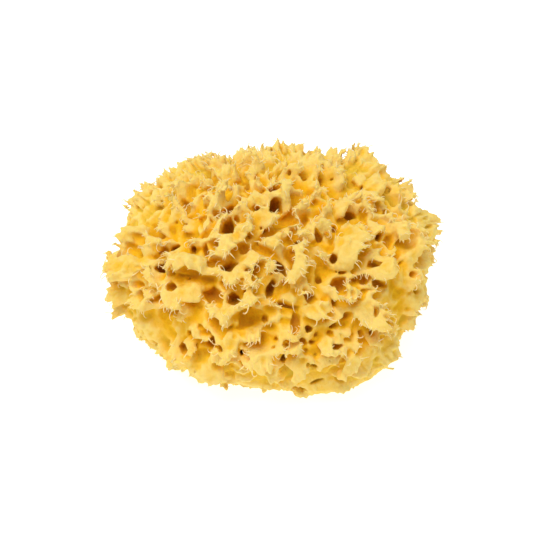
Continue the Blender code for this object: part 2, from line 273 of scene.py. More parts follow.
# How far the body lies under the skin that the lobes stand on: the most, and the shares of that at the
# outline and what is added where the skin faces the viewer or faces away
BODY_SINK = 0.0035
SINK_SHARES = (0.32, 0.68, 0.43)
TOWARD = (0.10, 0.60)
AWAY = (-0.10, -0.60)
AT_OUTLINE = (0.62, 0.25)

# How wide the rounded joints between forms are
SWELLING_JOINT = 0.004
LOBE_JOINT = 0.0014
DENT_JOINT = 0.006
HOLE_JOINT = 0.0012
PORE_JOINT = 0.0006
LIP_JOINT = 0.0007

# Noise as (wavelength, height): what bends every form, the uneven walls of holes, the ridges and the folds
BENDS = ((0.011, 0.0018), (0.0042, 0.0009))
WALLS = ((0.0034, 0.0008), (0.0019, 0.0004))
RIDGES = ((0.0038, 0.0026), (0.0021, 0.0014))
FOLDS = (0.0060, 0.0012)
RIDGE_LEVEL = 0.35  # about the mean of noise without its sign, so that ridges don't move the skin
RIDGES_LOST = 0.4  # the share of the ridges' height that is missing at the outline

# Pleats at the outline that fan out from the middle of the face, the same way
FAN = (0.0017, 0.0024)
FAN_LEVEL = 0.3
FAN_RADIUS = 0.06
FAN_THICKNESS = 0.012

RELIEF_FADE = (0.011, 0.002)  # depths below the skin at which relief begins and is full
FOOT_CALM = 0.75  # the share of the relief that is missing at the trimmed foot
SKIN_TRIM = 0.0004
CLOSING = 0.00001  # how far past zero the field is where the base and the box's top close the flesh

# The box of points that holds the field, and how many triangles the flesh keeps
STEP = 0.0005
FIELD_LOW = (-0.0730, -0.0647, -0.0010)
FIELD_HIGH = (0.0728, 0.0642, 0.0748)
FLESH_TRIANGLES = 196000
HIDDEN_DEPTHS = (0.003, 0.009)
HIDDEN_HEIGHTS = (0.004, 0.001)
HIDDEN_LEVELS = 10

# Painted shade in the hollows, from 0 to 1: how hollow a point is, from the shares of flesh within two
# reaches and the depth below the skin, each between two readings and with its weight
NEAR_REACH = 0.0024
FAR_REACH = 0.0066
NEAR_CROWD = (0.28, 0.85)
FAR_CROWD = (0.38, 0.72)
SUNK = (0.002, 0.009)
NEAR_WEIGHT, FAR_WEIGHT, SUNK_WEIGHT = 0.55, 0.40, 0.25
OPEN_REACH = 0.0016  # the open side of a point is read from the flesh within this reach
MARGIN = (0.65, 0.30)  # the dome's margin, by how far it faces the viewer
# The painted shade is this share weaker at the margin, so the margin stays paler
MARGIN_SHADE_LOSS = 0.30

# Olive pockets: at the foot of the face, and in the hollows of the margin
OLIVE_FOOT = (-0.029, -0.041)
OLIVE_FRONT = (0.0, -0.010)
OLIVE_FOOT_HOLLOW = (0.25, 0.55)
OLIVE_FOOT_SHARES = (0.05, 0.80)
OLIVE_MARGIN_HOLLOW = (0.10, 0.45)
OLIVE_MARGIN_SHARE = 0.5
OLIVE_PATCH = 0.012

# Bleached spongin, straw yellow at the crests, then painted shade along the stops toward amber in deep
# hollows, by the hollow attribute
FLESH_AND_SHADE_STOPS = ((0.0, "#FCD878"), (0.22, "#F9C743"), (0.45, "#F2BA10"), (0.7, "#E4AA0C"), (1.0, "#D0921C"))
FRAY_STOPS = ((0.0, "#FFEDB2"), (1.0, "#FAD672"))
OLIVE = "#CDB23C"
CLOUD_WIDTH = 0.014
MOTTLE_WIDTH = 0.0022
DRIFT = 0.34  # how far clouds and mottling each move the colour along its stops
GRAIN_WIDTH = 0.0012  # real fibres are 0.03 mm thick: the grain is drawn as coarse as it needs to show
GRAIN_HEIGHT = 0.0006
LIGHT_REACH = 0.0011  # how deep light passes into the fibre, most in red and least in blue
LIGHT_SPREAD = (1.0, 0.88, 0.28)

# Teeth and fibres, each as the most flesh near a root, the room each takes, the least and most length, the
# radii, the curls in radians, how flat it is, its rings and its place on the stops
TEETH = (0.24, 0.0014, (0.0006, 0.0019), (0.00020, 0.00044), (0.3, 2.2), 0.6, 4, 0.8)
FIBRES = (0.26, 0.0021, (0.0022, 0.0056), (0.00020, 0.00032), (1.6, 4.6), 0.9, 10, 0.3)
TOOTH_SHARE = 0.36  # the share of roots that carry one
FIBRE_SHARES = (0.05, 0.35)  # all round, and what is added in the middle of the face

# Where they may root, and how they grow
LOWEST_ROOT = 0.004
ROOT_DEPTH = 0.0004
MIDDLE_REACH = (0.042, 0.030)  # the middle of the face, across and up, where most fibres hang
BARE_BELOW = (-0.022, -0.036)
BARE_PATCH = 0.009
SWIRL_PATCH = 0.005
GROWTH = (0.35, 0.35, 0.25)  # beside the open way: along the normal, drooping, and by chance
HOOK = (3, 0.8, 0.4)  # what a strand curls toward: across by the swirl, in toward the body, and down
STRAND_SIDES = 4

# The studio: how bright the card, the sky and the sun are, how broad the sun is, and the lens in mm
FLOOR_REACH = 30.0
CARD_WHITE = 0.6
CARD_GLOW = 0.82
SKY_LIGHT = 0.42
SUN_LIGHT = 2.1
SUN_BREADTH = math.radians(40)
SUN_WAY = (0.22, 0.05, -0.95)
LENS = 100
SENSOR = 36


class Lattice:
    """A box of evenly spaced points: three axes of places, and the shape of the arrays on them."""

    def __init__(self, low, high, step):
        self.step = step
        self.low = np.array(low)
        self.axes = [np.arange(a, b + step, step, dtype=np.float32) for a, b in zip(low, high)]
        self.shape = tuple(len(axis) for axis in self.axes)

    def places(self):
        x, y, z = self.axes
        return x[:, None, None], y[None, :, None], z[None, None, :]

    def around(self, centre, reach):
        """The slices that hold every point within a reach of a centre."""
        first = np.floor((centre - reach - self.low) / self.step).astype(int)
        last = np.ceil((centre + reach - self.low) / self.step).astype(int) + 1
        return tuple(slice(max(a, 0), min(max(b, 0), n)) for a, b, n in zip(first, last, self.shape))


def smooth_max(a, b, width):
    """The larger of a and b, with the corner between them rounded over a width."""
    share = np.clip(0.5 + 0.5 * (a - b) / width, 0, 1)
    return b + (a - b) * share + width * share * (1 - share)


def smooth_min(a, b, width):
    return -smooth_max(-a, -b, width)


def smooth_step(low, high, value):
    """0 at low and 1 at high, with no corner at either, by t t (3 - 2 t)."""
    t = np.clip((value - low) / (high - low), 0, 1)
    return t * t * (3 - 2 * t)


def unit(vectors):
    return vectors / np.maximum(np.linalg.norm(vectors, axis=1, keepdims=True), 1e-9)


def spread_weights(places, start, wavelength, count):
    """A matrix that reads a coarse row of values at fine places by cubic B-spline: four weights a place."""
    at = (places - start) / wavelength
    base = np.floor(at).astype(int)
    t = at - base
    weights = np.zeros((len(places), count), np.float32)
    rows = np.arange(len(places))
    cubic = ((1 - t) ** 3, 3 * t**3 - 6 * t**2 + 4, -3 * t**3 + 3 * t**2 + 3 * t + 1, t**3)
    for k, w in enumerate(cubic):
        weights[rows, np.clip(base + k, 0, count - 1)] += w / 6
    return weights


def soft_noise(lattice, wavelength, seed):
    """Noise from about -1 to 1: random values a wavelength apart, joined by cubic B-splines on each axis."""
    chance = np.random.default_rng(seed)
    counts = [int((axis[-1] - axis[0]) / wavelength) + 5 for axis in lattice.axes]
    values = chance.uniform(-1, 1, counts).astype(np.float32)
    for k, axis in enumerate(lattice.axes):
        weights = spread_weights(axis, axis[0] - wavelength, wavelength, counts[k])
        values = np.moveaxis(np.tensordot(weights, values, axes=(1, k)), 0, k)
    return values * 1.9


def noise_at(x, y, z, wavelength, seed):
    """Noise between -1 and 1 at any places: the eight values round each place, blended by smooth steps."""
    chance = np.random.default_rng(seed)
    size = 64
    values = chance.uniform(-1, 1, (size, size, size)).astype(np.float32)
    total = None
    cells, blends = [], []
    for place in (x, y, z):
        at = place / wavelength
        base = np.floor(at)
        t = at - base
        cells.append(base.astype(np.int32))
        blends.append(t * t * (3 - 2 * t))
    for dx in (0, 1):
        wx = blends[0] if dx else 1 - blends[0]
        for dy in (0, 1):
            wy = blends[1] if dy else 1 - blends[1]
            for dz in (0, 1):
                wz = blends[2] if dz else 1 - blends[2]
                picked = values[(cells[0] + dx) % size, (cells[1] + dy) % size, (cells[2] + dz) % size]
                part = picked * wx * wy * wz
                total = part if total is None else total + part
    return total


def skin_normal(point):
    """The outward direction of the plain dome at a point of its skin."""
    away = (point - BODY_CENTRE) / BODY_RADII**2
    return away / np.linalg.norm(away)


def skin_along(direction):
    """The point of the plain dome's skin in a direction from the body's centre."""
    return BODY_CENTRE + direction / np.linalg.norm(direction / BODY_RADII)


def skin_on_face(across, up):
    """The point of the plain dome that the viewer sees at a place on the face, or its outline's nearest."""
    sight = FACE_MIDDLE + ACROSS * across + UP_FACE * up - EYE
    p, q = (EYE - BODY_CENTRE) / BODY_RADII, sight / BODY_RADII
    a, b, c = q @ q, p @ q, p @ p - 1
    root = max(b * b - a * c, 0.0)
    return EYE + sight * ((-b - math.sqrt(root)) / a)


def swelling_balls():
    """Each swelling's centre and radius: a ball under the skin whose top stands its rise above it."""
    for across, up, radius, rise in SWELLINGS:
        skin = skin_on_face(across, up)
        yield skin + skin_normal(skin) * (rise - radius), radius


SWELLING_BALLS = tuple(swelling_balls())


def lifted(skin):
    """A point of the plain skin moved out onto the swelling that covers it, if one does."""
    normal = skin_normal(skin)
    reach = 0.0
    for centre, radius in SWELLING_BALLS:
        away = skin - centre
        b = away @ normal
        root = b * b - away @ away + radius * radius
        if root > 0:
            reach = max(reach, math.sqrt(root) - b)
    return skin + normal * reach


def round_the_dome(count, chance):
    """Skin points spread evenly over the whole dome by the golden angle, each a little out of place."""
    for i in range(count):
        height = 1 - 2 * (i + 0.5) / count
        turn = i * GOLDEN_ANGLE + chance.uniform(-STRAY, STRAY)
        level = math.sqrt(1 - height * height)
        yield skin_along(np.array((level * math.cos(turn), level * math.sin(turn), height)))


def skin_frame(normal, lengthwise):
    """Three unit rows: the lengthwise direction laid on the skin, the one across it, and the normal."""
    along = lengthwise - normal * (lengthwise @ normal)
    along /= np.linalg.norm(along)
    return np.array((along, np.cross(normal, along), normal))


def foot_share(across, up):
    """1 on the smooth trimmed foot of the face, right of its middle, and 0 away from it."""
    return smooth_step(*FOOT, up) * smooth_step(*FOOT_SIDE, across)


def lobe_places():
    """Where each lobe stands, its radius, its rise and its random turn, the solid's lobes first."""
    for across, up, radius in FACE_LOBES:
        yield lifted(skin_on_face(across, up)), radius, FACE_LOBE_RISE, 0.0
    for count, radii, rises, seed in (
        (LOBE_COUNT, LOBE_RADII, LOBE_RISES, SEED),
        (SMALL_LOBE_COUNT, SMALL_LOBE_RADII, SMALL_LOBE_RISES, SEED + 3),
    ):
        chance = random.Random(seed)
        for skin in round_the_dome(count, chance):
            radius = chance.uniform(*radii)
            rise = LOBE_RISE * chance.uniform(*rises)
            yield lifted(skin), radius, rise, chance.uniform(0, math.tau)


def lobes():
    """Every lobe as (centre, radii, axes, tear), with the middle of the hollow under its hem and its size.

    A lobe is a flattened ball that grows from the skin and leans over, down the face in the middle and away
    from the viewer at the outline, so that its ragged hem stands clear of the hollow under it."""
    for skin, radius, rise, turn in lobe_places():
        normal = skin_normal(skin)
        low = foot_share((skin - FACE_MIDDLE) @ ACROSS, (skin - FACE_MIDDLE) @ UP_FACE)
        rise *= 1 - FOOT_DROP * low
        sway = ACROSS * math.cos(turn) + UP_FACE * math.sin(turn)
        droop, wide, _ = skin_frame(normal, -OUT_FACE - DOWNWARD * UP_FACE + SWAY * sway)
        grow = normal + LOBE_LEAN * droop * (FACE_LEAN if rise > LOBE_RISE else 1)
        grow /= np.linalg.norm(grow)
        thin = np.cross(grow, wide)
        outline = 1 - smooth_step(*OUTLINE, abs(normal @ OUT_FACE))
        radii = radius * LOBE_STRETCH * (1, 1 - OUTLINE_THINNING * outline, 1)
        height = math.hypot(grow @ normal * radii[2], thin @ normal * radii[1])
        centre = skin + normal * (rise - height) - droop * ROOT_SHIFT * radius
        under = skin + droop * HOLLOW_SHIFT * radius + normal * rise * HOLLOW_LIFT
        size = radii * (1 - HOLLOW_LOSS * max(outline, low))
        yield centre, radii, np.array((wide, thin, grow)), TEAR * (1 - TEAR_LOST * low), under, size


def holes():
    """Every water hole and pore of the face, then the holes all round, as (centre, radii, frame)."""
    pores = [(across, up, radius, radius, 0, depth) for across, up, radius, depth in FACE_PORES]
    for across, up, half_length, half_width, turn, depth in (*FACE_HOLES, *SMALL_HOLES, *pores):
        skin = lifted(skin_on_face(across, up))
        sight = skin - EYE
        inward = sight / np.linalg.norm(sight) - SIGHT_LEAN * skin_normal(skin)
        inward /= np.linalg.norm(inward)
        angle = math.radians(turn)
        lengthwise = ACROSS * math.cos(angle) + UP_FACE * math.sin(angle)
        radii = (half_length, half_width, depth * SEEN_DEPTH[0] + SEEN_DEPTH[1])
        yield skin, radii, skin_frame(inward, lengthwise)
    chance = random.Random(SEED + 1)
    for skin in round_the_dome(HOLE_COUNT, chance):
        normal = skin_normal(skin)
        radius = chance.uniform(*HOLE_RADII)
        depth = chance.uniform(*HOLE_DEPTHS)
        turn = chance.uniform(0, math.tau)
        if normal @ OUT_FACE > FACING:
            continue
        lengthwise = np.array((math.cos(turn), math.sin(turn), HOLE_SLANT))
        radii = (radius * chance.uniform(1.0, LONGEST_HOLE), radius, depth)
        yield lifted(skin), radii, skin_frame(-normal, lengthwise)


def fine_pores():
    """Pores spread all round, as (centre, radii, frame): narrow pits that lean a little from the normal."""
    chance = random.Random(SEED + 2)
    for skin in round_the_dome(PORE_COUNT, chance):
        normal = skin_normal(skin)
        if normal @ OUT_FACE > PORE_FACING and chance.random() < PORES_LEFT_OUT:
            continue
        radius = PORE_RADIUS + PORE_GROWTH * chance.random() ** 2
        turn = chance.uniform(0, math.tau)
        tilt = np.array((math.cos(turn), math.sin(turn), chance.uniform(-1, 1)))
        inward = -normal + PORE_TILT * tilt
        inward /= np.linalg.norm(inward)
        centre = lifted(skin) + normal * chance.uniform(-PORE_STRAY, PORE_STRAY)
        radii = (radius * chance.uniform(1.0, 1.5), radius, radius * chance.uniform(2.0, 3.5))
        yield centre, radii, skin_frame(inward, tilt)


def local_places(places, centre, axes):
    """Places as distances from a centre along each of three axes."""
    away = [p - c for p, c in zip(places, centre.astype(np.float32))]
    return [sum(a * b for a, b in zip(away, axis)) for axis in axes.astype(np.float32)]


def inside_ball(places, centre, radii, axes):
    """How far places lie inside a stretched ball: k(1 - k) / g, with k the scaled reach and g its slope."""
    local = local_places(places, centre, axes)
    k = np.sqrt(sum((a / r) ** 2 for a, r in zip(local, radii))) + 1e-6
    g = np.sqrt(sum((a / (r * r)) ** 2 for a, r in zip(local, radii))) + 1e-6
    return (k * (1 - k) / g).astype(np.float32)


def inside_lobe(places, centre, radii, axes, tear, chance):
    """inside_ball with the reach torn along the hem and fine pleats that run toward it.

    The tear and the pleats are rows of random heights, read along the lobe's width and joined by straight
    lines."""
    across, through, out = local_places(places, centre, axes)
    row = np.arange(-HEM_REACH, HEM_REACH + 1)
    deep = chance.uniform(-1, 1, len(row))
    torn = np.interp(across + TEAR_SLANT * through, row * TEAR_WIDTH, deep).astype(np.float32)
    high = np.where(row % 2 == 0, 1.0, -1.0) * chance.uniform(LEAST_PLEAT, 1.0, len(row))
    pleat = np.interp(across, row * PLEAT_WIDTH, high).astype(np.float32)
    reach = radii[2] * (1 + tear * torn)
    hem = np.clip(out / radii[2], 0, 1)
    k = np.sqrt((across / radii[0]) ** 2 + (through / radii[1]) ** 2 + (out / reach) ** 2) + 1e-6
    slopes = (across / radii[0] ** 2) ** 2 + (through / radii[1] ** 2) ** 2 + (out / reach**2) ** 2
    g = np.sqrt(slopes) + 1e-6
    return (k * (1 - k) / g + PLEAT_HEIGHT * pleat * hem).astype(np.float32)


def inside_hole(places, centre, radii, axes, chance):
    """inside_ball for a hole with corners: round its axis, its reach is the largest of six uneven sides."""
    local = local_places(places, centre, axes)
    u, w = local[0] / radii[0], local[1] / radii[1]
    sides = None
    for corner in range(HOLE_SIDES):
        turn = (corner + chance.uniform(-SIDE_TURN, SIDE_TURN)) * math.tau / HOLE_SIDES
        side = (u * math.cos(turn) + w * math.sin(turn)) / chance.uniform(*SIDE_REACHES)
        sides = side if sides is None else np.maximum(sides, side)
    k = np.sqrt(np.maximum(sides, 0) ** 2 + (local[2] / radii[2]) ** 2) + 1e-6
    g = np.sqrt(sum((a / (r * r)) ** 2 for a, r in zip(local, radii))) + 1e-6
    return (k * (1 - k) / g).astype(np.float32)


def distance(places, centre):
    return np.sqrt(sum((p - c) ** 2 for p, c in zip(places, centre.astype(np.float32))))


def waves(lattice, form, seed):
    """Soft noise of one wavelength and height."""
    wavelength, height = form
    return soft_noise(lattice, wavelength, seed) * height


def ridges(lattice, form, seed):
    """Ridges along the lines where soft noise is zero: (level - |noise|) times the height."""
    wavelength, height = form
    return (RIDGE_LEVEL - np.abs(soft_noise(lattice, wavelength, seed))) * height


def bent_places(lattice):
    """The lattice's places, each moved a little by two waves of noise, so that no form stays regular."""
    broad, fine = BENDS
    bend = [waves(lattice, broad, SEED + 20 + k) for k in range(3)]
    bend = [b + waves(lattice, fine, SEED + 30 + k) for k, b in enumerate(bend)]
    return [place + b for place, b in zip(lattice.places(), bend)]


def skin_facing(away):
    """How far the dome's skin above a place faces the viewer, from -1 to 1."""
    toward = sum(a * o / (r * r) for a, o, r in zip(away, OUT_FACE, BODY_RADII))
    slope = np.sqrt(sum((a / (r * r)) ** 2 for a, r in zip(away, BODY_RADII.astype(np.float32))))
    return toward / np.maximum(slope, 1e-4)


def depth_in_flesh(lattice, bent, away, facing, chance):
    """How far places lie under the skin, and every hollow under a lobe as (middle, size, axes).

    The dome's depth is reach (1 / share - 1), with reach the distance from its centre and share that
    distance against the skin's. Swellings and lobes join it by rounded maxima, and dents cut it by a
    rounded minimum."""
    reach = np.sqrt(away[0] ** 2 + away[1] ** 2 + away[2] ** 2)
    share = np.sqrt(sum((a / r) ** 2 for a, r in zip(away, BODY_RADII.astype(np.float32))))
    depth = reach * (1 / np.maximum(share, 1e-4) - 1)
    outline, face, back = SINK_SHARES
    sink = BODY_SINK * (outline + face * smooth_step(*TOWARD, facing) + back * smooth_step(*AWAY, facing))
    sink = sink.astype(np.float32)
    depth -= sink
    for centre, radius in SWELLING_BALLS:
        near = lattice.around(centre, radius + 0.006)
        ball = radius - sink[near] - distance([p[near] for p in bent], centre)
        depth[near] = smooth_max(depth[near], ball, SWELLING_JOINT)
    hollows = []
    for centre, radii, axes, tear, under, size in lobes():
        near = lattice.around(centre, max(radii) * (1 + TEAR) + 0.002)
        lobe = inside_lobe([p[near] for p in bent], centre, radii, axes, tear, chance)
        depth[near] = smooth_max(depth[near], lobe, LOBE_JOINT)
        hollows.append((under, size, axes))
    for across, up, sunk in DENTS:
        skin = lifted(skin_on_face(across, up))
        centre = skin + skin_normal(skin) * (DENT_RADIUS + LOBE_RISE - sunk)
        near = lattice.around(centre, DENT_RADIUS + 0.006)
        outside = distance([p[near] for p in bent], centre) - DENT_RADIUS
        depth[near] = smooth_min(depth[near], outside, DENT_JOINT)
    return depth, hollows


def depth_in_gaps(lattice, bent, hollows, chance):
    """How far places lie inside a hollow, a water hole or a pore, joined by rounded maxima."""
    gap = np.full(lattice.shape, -0.01, np.float32)

    def join(centre, radii, axes, reach, width, inside, *extra):
        near = lattice.around(centre, reach)
        places = [p[near] for p in bent]
        gap[near] = smooth_max(gap[near], inside(places, centre, radii, axes, *extra), width)

    for centre, size, axes in hollows:
        join(centre, size * HOLLOW_STRETCH, axes, max(size) + 0.002, HOLE_JOINT, inside_ball)
    for centre, radii, axes in holes():
        join(centre, radii, axes, max(radii) * 1.3 + 0.002, HOLE_JOINT, inside_hole, chance)
    for centre, radii, axes in fine_pores():
        join(centre, radii, axes, max(radii) + 0.001, PORE_JOINT, inside_ball)
    for k, form in enumerate(WALLS):
        gap = gap + waves(lattice, form, SEED + 64 - k)
    return gap


def relief(lattice, away, facing):
    """Ridges of two wavelengths, broad folds, and at the outline pleats that fan out from the face's middle.

    The pleats are ridges of noise in two directions: the turn round the face and how far the skin faces."""
    rim = smooth_step(*AT_OUTLINE, np.abs(facing)).astype(np.float32)
    height = ridges(lattice, RIDGES[0], SEED + 61)
    height += ridges(lattice, RIDGES[1], SEED + 62)
    height *= 1 - RIDGES_LOST * rim
    height += waves(lattice, FOLDS, SEED + 60)
    up = (away[1] * UP_FACE[1] + away[2] * UP_FACE[2]).astype(np.float32)
    round_face = np.arctan2(up, away[0]) * FAN_RADIUS
    back = (facing * FAN_THICKNESS).astype(np.float32)
    fan = noise_at(round_face, back, np.zeros(1, np.float32), FAN[0], SEED + 52)
    height += (FAN_LEVEL - np.abs(fan)) * FAN[1] * rim
    return height


def sponge_field(lattice):
    """The field whose zero level is the flesh, and the depth of each place below the lobes' skin.

    field = rounded minimum of the depth in flesh, with relief added near the skin, and minus the depth in
    gaps, never more than the height above the cut base, and below zero at the box's top."""
    x, y, z = lattice.places()
    chance = np.random.default_rng(SEED + 90)
    bent = bent_places(lattice)
    away = [p - c for p, c in zip(bent, BODY_CENTRE.astype(np.float32))]
    facing = skin_facing(away)
    depth, hollows = depth_in_flesh(lattice, bent, away, facing, chance)
    gap = depth_in_gaps(lattice, bent, hollows, chance)
    up_face = (y - FACE_MIDDLE[1]) * UP_FACE[1] + (z - FACE_MIDDLE[2]) * UP_FACE[2]
    calm = 1 - FOOT_CALM * foot_share(x - FACE_MIDDLE[0], up_face)
    fade = smooth_step(*RELIEF_FADE, depth)
    shaped = depth - SKIN_TRIM + relief(lattice, away, facing) * fade * calm.astype(np.float32)
    field = smooth_min(shaped, -gap, LIP_JOINT)
    field = np.minimum(field, z - CLOSING)
    field[:, :, -1] = np.minimum(field[:, :, -1], -CLOSING)
    return field.astype(np.float32), depth.astype(np.float32)


def surface_net(field, lattice):
    """Points and quads of the field's zero level.

    Every cell with corners on both sides gets one point, the mean of where its edges cross zero. Every
    lattice edge that crosses zero gets one quad, through the four cells round it."""
    inside = field > 0
    low, high = slice(None, -1), slice(1, None)
    corners = [inside[i, j, k] for i in (low, high) for j in (low, high) for k in (low, high)]
    count = sum(c.astype(np.uint8) for c in corners)
    active = (count > 0) & (count < 8)
    cell = np.argwhere(active)
    number = np.full(active.shape, -1, np.int32)
    number[active] = np.arange(len(cell), dtype=np.int32)
    total = np.zeros((len(cell), 3), np.float64)
    crossings = np.zeros(len(cell), np.float64)
    for axis in range(3):
        others = [a for a in range(3) if a != axis]
        for u in (0, 1):
            for v in (0, 1):
                start = cell.copy()
                start[:, others[0]] += u
                start[:, others[1]] += v
                end = start.copy()
                end[:, axis] += 1
                a = field[tuple(start.T)]
                b = field[tuple(end.T)]
                crosses = (a > 0) != (b > 0)
                t = np.where(crosses, a / np.where(crosses, a - b, 1), 0)
                place = start.astype(np.float64)
                place[:, axis] += t
                total += place * crosses[:, None]
                crossings += crosses
    points = lattice.low + (total / crossings[:, None]) * lattice.step
    quads = []
    for axis in range(3):
        u, v = [a for a in range(3) if a != axis]
        first = [slice(1, -1)] * 3
        first[axis] = slice(0, -1)
        second = list(first)
        second[axis] = slice(1, None)
        a, b = inside[tuple(first)], inside[tuple(second)]
        edges = np.argwhere(a != b) + [0 if k == axis else 1 for k in range(3)]
        leaving = inside[tuple(edges.T)]
        ring = []
        for du, dv in ((1, 1), (0, 1), (0, 0), (1, 0)):
            c = edges.copy()
            c[:, u] -= du
            c[:, v] -= dv
            ring.append(number[tuple(c.T)])
        quad = np.stack(ring, 1)
        flip = leaving if axis == 1 else ~leaving
        quad[flip] = quad[flip][:, ::-1]
        quads.append(quad)
    return points, np.concatenate(quads)


def largest_shell(points, quads):
    """Keeps the biggest connected surface, found by handing the smallest point number along the edges."""
    labels = np.arange(len(points), dtype=np.int64)
    a = np.concatenate([quads[:, k] for k in range(4)])
    b = np.concatenate([quads[:, (k + 1) % 4] for k in range(4)])
    while True:
        before = labels.copy()
        low = np.minimum(labels[a], labels[b])
        np.minimum.at(labels, a, low)
        np.minimum.at(labels, b, low)
        labels = labels[labels]
        if np.array_equal(before, labels):
            break
    kinds, counts = np.unique(labels[quads[:, 0]], return_counts=True)
    kept = quads[labels[quads[:, 0]] == kinds[np.argmax(counts)]]
    used, renumbered = np.unique(kept, return_inverse=True)
    return points[used], renumbered.reshape(-1, 4)


def read_field(field, lattice, points):
    """The field at any points, blended between the eight lattice points round each."""
    at = (points - lattice.low) / lattice.step
    base = np.clip(np.floor(at).astype(int), 0, np.array(lattice.shape) - 2)
    t = at - base
    total = np.zeros(len(points))
    for dx in (0, 1):
        for dy in (0, 1):
            for dz in (0, 1):
                w = t[:, 0] if dx else 1 - t[:, 0]
                w = w * (t[:, 1] if dy else 1 - t[:, 1])
                w = w * (t[:, 2] if dz else 1 - t[:, 2])
                total += w * field[base[:, 0] + dx, base[:, 1] + dy, base[:, 2] + dz]
    return total


def box_mean(values, reach):
    """The mean over a cube of cells, by running sums along each axis."""
    for axis in range(3):
        padded = np.pad(values, [(reach + 1, reach) if k == axis else (0, 0) for k in range(3)], mode="edge")
        sums = np.cumsum(padded, axis=axis, dtype=np.float64)
        n = values.shape[axis]
        high = np.take(sums, np.arange(2 * reach + 1, 2 * reach + 1 + n), axis=axis)
        low = np.take(sums, np.arange(0, n), axis=axis)
        values = ((high - low) / (2 * reach + 1)).astype(np.float32)
    return values


def mesh_object(name, points, faces):
    data = bpy.data.meshes.new(name)
    data.from_pydata(points.tolist(), [], faces.tolist())
    data.update()
    obj = bpy.data.objects.new(name, data)
    bpy.context.scene.collection.objects.link(obj)
    return obj


def set_attribute(data, name, values):
    layer = data.attributes.new(name, "FLOAT", "POINT")
    layer.data.foreach_set("value", np.asarray(values, np.float32))


def linear(hex_colour):
    """A colour written as sRGB hex, as linear light."""
    parts = [int(hex_colour[k:k + 2], 16) / 255 for k in (1, 3, 5)]
    return (*[p / 12.92 if p <= 0.04045 else ((p + 0.055) / 1.055) ** 2.4 for p in parts], 1)


def node(tree, kind, inputs=(), **settings):
    """Adds a node, sets its properties, and links or sets its inputs, given by name or number."""
    made = tree.nodes.new(kind)
    for key, value in settings.items():
        setattr(made, key, value)
    for key, value in dict(inputs).items():
        if isinstance(value, bpy.types.NodeSocket):
            tree.links.new(value, made.inputs[key])
        else:
            made.inputs[key].default_value = value
    return made


def spongin(name, stops, translucence, glow):
    """Bleached spongin, the horny fibre of a bath sponge: matt, and light passes into it.

    Its colour is straw yellow at the crests and is painted darker toward amber in the hollows, as painted
    shade: the colour follows the hollow attribute along its stops, with cloudy drift and mottling, and turns
    olive by the olive
    attribute. The glow is painted light: emission that stands for the light that passes through the thinnest
    fibres."""
    material = bpy.data.materials.new(name)
    material.use_nodes = True
    tree = material.node_tree
    shader = tree.nodes["Principled BSDF"]
    place = node(tree, "ShaderNodeTexCoord").outputs["Object"]
    hollow = node(tree, "ShaderNodeAttribute", attribute_name="hollow").outputs["Fac"]
    clouds = node(tree, "ShaderNodeTexNoise", {"Vector": place, "Scale": 1 / CLOUD_WIDTH, "Detail": 3.0})
    mottle = node(tree, "ShaderNodeTexNoise", {"Vector": place, "Scale": 1 / MOTTLE_WIDTH, "Detail": 4.0})
    values = {0: clouds.outputs["Fac"], 1: mottle.outputs["Fac"]}
    both = node(tree, "ShaderNodeMath", values, operation="ADD").outputs[0]
    drift = node(tree, "ShaderNodeMath", {0: both, 1: DRIFT, 2: -DRIFT}, operation="MULTIPLY_ADD").outputs[0]
    level = node(tree, "ShaderNodeMath", {0: drift, 1: hollow}, operation="ADD", use_clamp=True).outputs[0]
    ramp = node(tree, "ShaderNodeValToRGB", {"Fac": level})
    elements = ramp.color_ramp.elements
    while len(elements) < len(stops):
        elements.new(0.5)
    for element, (at, colour) in zip(elements, stops):
        element.position = at
        element.color = linear(colour)
    olive = node(tree, "ShaderNodeAttribute", attribute_name="olive").outputs["Fac"]
    colours = {0: olive, 6: ramp.outputs["Color"], 7: linear(OLIVE)}
    tinted = node(tree, "ShaderNodeMix", colours, data_type="RGBA")
    tree.links.new(tinted.outputs[2], shader.inputs["Base Color"])
    grain = node(tree, "ShaderNodeTexNoise", {"Vector": place, "Scale": 1 / GRAIN_WIDTH, "Detail": 4.0})
    raised = {"Height": grain.outputs["Fac"], "Strength": 1.0, "Distance": GRAIN_HEIGHT}
    bump = node(tree, "ShaderNodeBump", raised)
    tree.links.new(bump.outputs["Normal"], shader.inputs["Normal"])
    shader.inputs["Roughness"].default_value = 0.85
    shader.inputs["Specular IOR Level"].default_value = 0.2
    shader.inputs["Subsurface Weight"].default_value = translucence
    shader.inputs["Subsurface Radius"].default_value = LIGHT_SPREAD
    shader.inputs["Subsurface Scale"].default_value = LIGHT_REACH
    # Painted light: the glow, in the first stop's colour, stands for light that passes through thin fibres
    shader.inputs["Emission Color"].default_value = linear(stops[0][1])
    shader.inputs["Emission Strength"].default_value = glow
    return material


def thin_out(obj, hidden):
    """Drops the flesh to its number of triangles, taking the most where points are hidden.

    The vertex group's weight is one of ten levels, from 0.1 where a point is in sight to 1 where it is
    hidden."""
    group = obj.vertex_groups.new(name="hidden")
    steps = (1 + hidden * (HIDDEN_LEVELS - 1)).round().astype(int)
    for level in range(1, HIDDEN_LEVELS + 1):
        group.add(np.nonzero(steps == level)[0].tolist(), level / HIDDEN_LEVELS, "REPLACE")
    thin = obj.modifiers.new("thinned", "DECIMATE")
    thin.ratio = FLESH_TRIANGLES / (2 * len(obj.data.polygons))
    thin.use_collapse_triangulate = True
    thin.vertex_group = group.name
    thin.vertex_group_factor = 1e-5
    graph = bpy.context.evaluated_depsgraph_get()
    data = bpy.data.meshes.new_from_object(obj.evaluated_get(graph))
    obj.modifiers.clear()
    obj.vertex_groups.clear()
    obj.data = data


